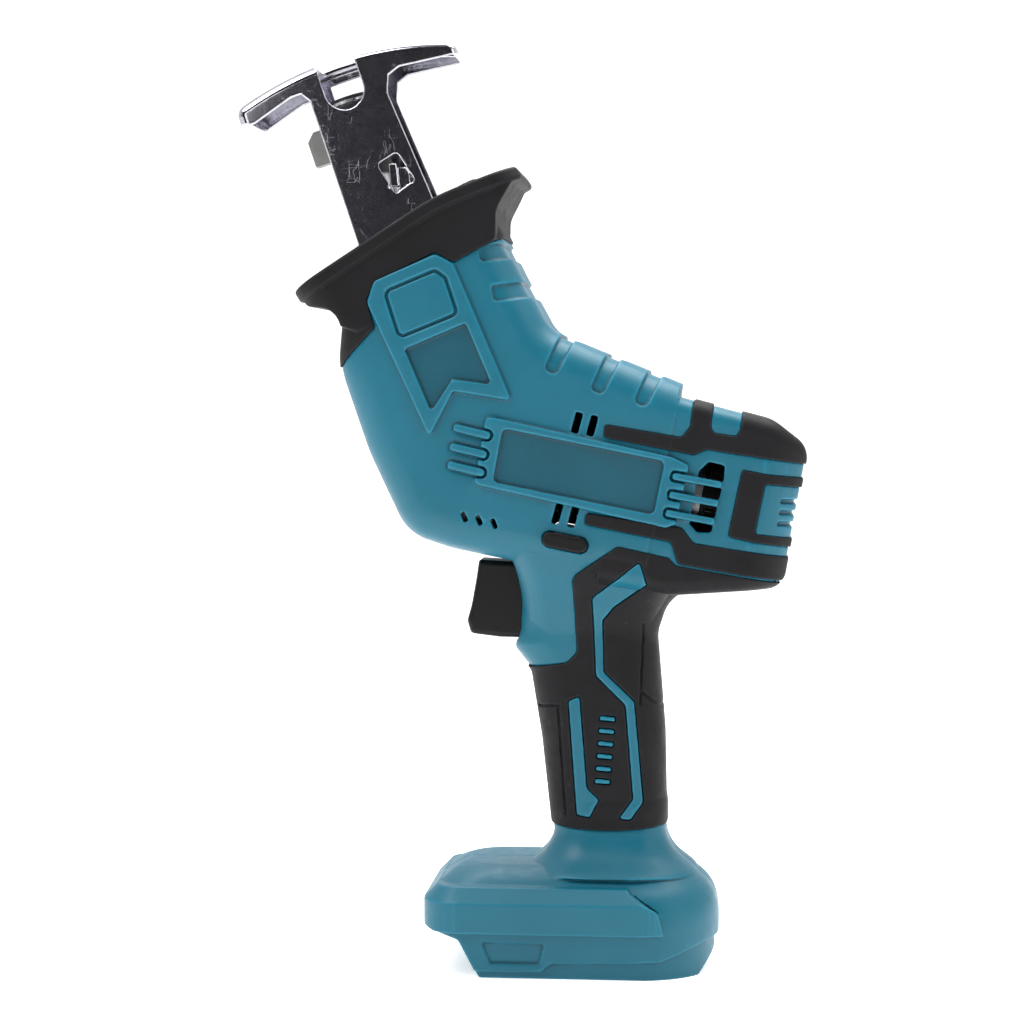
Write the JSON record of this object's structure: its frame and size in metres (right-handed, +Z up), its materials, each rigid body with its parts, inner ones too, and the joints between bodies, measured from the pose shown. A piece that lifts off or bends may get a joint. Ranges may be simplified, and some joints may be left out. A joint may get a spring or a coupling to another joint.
{
  "type": "reciprocating saw",
  "caption": "Compact cordless reciprocating saw: angled nose with raked rubber boot and T-shaped steel shoe, rear motor barrel, pistol grip with trigger, slide-on battery foot.",
  "frame": {"origin": "middle of the battery foot's underside, on the line where the battery slides on", "axes": "+Z up from the foot towards the nose, +X towards the motor's tail, -Y the tool's left side"},
  "size_m": [0.2072, 0.076, 0.3374],
  "materials": {
    "teal_plastic": "moulded glass-filled nylon, fine satin grain",
    "black_rubber": "matte thermoplastic rubber",
    "black_plastic": "satin black nylon",
    "zinc_plate": "bright blue-passivated zinc on sheet steel",
    "cast_zinc": "grey sintered steel",
    "black_oxide": "black oxide on steel",
    "ground_steel": "ground and hardened steel",
    "cast_aluminium": "die-cast aluminium",
    "zinc_can": "zinc-plated drawn steel",
    "ferrite": "sintered ferrite and carbon",
    "lamination": "varnished steel laminations",
    "copper": "enamelled copper",
    "bronze": "sintered and spring bronze",
    "circuit_board": "varnished circuit board",
    "lead_insulation": "PVC insulated wire"
  },
  "bodies": {
    "saw_body": {"left_housing": "teal_plastic", "right_housing": "teal_plastic", "left_grip": "black_rubber", "right_grip": "black_rubber", "left_tail_bumper": "black_rubber", "right_tail_bumper": "black_rubber", "nose_boot": "black_rubber", "shoe": "zinc_plate", "shoe_screws": "ground_steel", "housing_screws": "black_oxide", "gear_case": "cast_aluminium", "gear_case_cover": "cast_aluminium", "crank_bearing": "ground_steel", "rear_bush": "bronze", "front_bush": "bronze", "plunger_seal": "black_rubber", "motor_can": "zinc_can", "magnets": "ferrite", "end_bell": "black_plastic", "brushes": "ferrite", "front_bearing": "ground_steel", "rear_bearing": "ground_steel", "trigger_spring": "ground_steel", "switch_body": "black_plastic", "terminal_block": "black_plastic", "terminals": "bronze", "controller_board": "circuit_board", "motor_leads": "lead_insulation", "battery_leads": "lead_insulation"},
    "crank": {"crank_gear": "ground_steel", "crank_pin": "ground_steel"},
    "rotor": {"armature": "lamination", "windings": "copper", "commutator": "copper", "motor_shaft": "ground_steel", "fan": "black_plastic", "pinion": "ground_steel"},
    "plunger_set": {"slot_block": "ground_steel", "yoke": "ground_steel", "yoke_screws": "ground_steel", "plunger": "ground_steel", "clamp_body": "black_oxide", "clamp_spring": "ground_steel", "clamp_ring": "ground_steel", "locking_pin": "ground_steel"},
    "collar": {"clamp_collar": "black_oxide", "clamp_lever": "cast_zinc"},
    "trigger": {"trigger": "black_plastic"},
    "lock_button": {"lock_button": "black_plastic"}
  },
  "joints": [
    {"name": "crank_spin", "type": "hinge", "parent": "saw_body", "child": "crank", "pos_m": [-0.0401, 0, 0.191], "axis": [0, 1, 0], "continuous": true},
    {"name": "rotor_spin", "type": "hinge", "parent": "saw_body", "child": "rotor", "pos_m": [-0.0401, 0, 0.191], "axis": [0.9806, 0, -0.1959], "continuous": true},
    {"name": "plunger_slide", "type": "slide", "parent": "saw_body", "child": "plunger_set", "axis": [-0.319, 0, 0.9478], "range_m": [-0.009, 0.009]},
    {"name": "collar_turn", "type": "hinge", "parent": "plunger_set", "child": "collar", "pos_m": [-0.0401, 0, 0.191], "axis": [-0.319, 0, 0.9478], "range_deg": [0, 30], "stiffness_Nm_per_rad": 0.15, "springref_deg": -20.05},
    {"name": "trigger_slide", "type": "slide", "parent": "saw_body", "child": "trigger", "axis": [1, 0, 0], "range_m": [0, 0.0055], "stiffness_N_per_m": 900, "springref_m": -0.004, "deforming": ["trigger_spring"]},
    {"name": "lock_slide", "type": "slide", "parent": "saw_body", "child": "lock_button", "axis": [0, 1, 0], "range_m": [0, 0.003]}
  ],
  "couplings": [
    {"joint": "rotor_spin", "follows": "crank_spin", "ratio": -5}
  ]
}
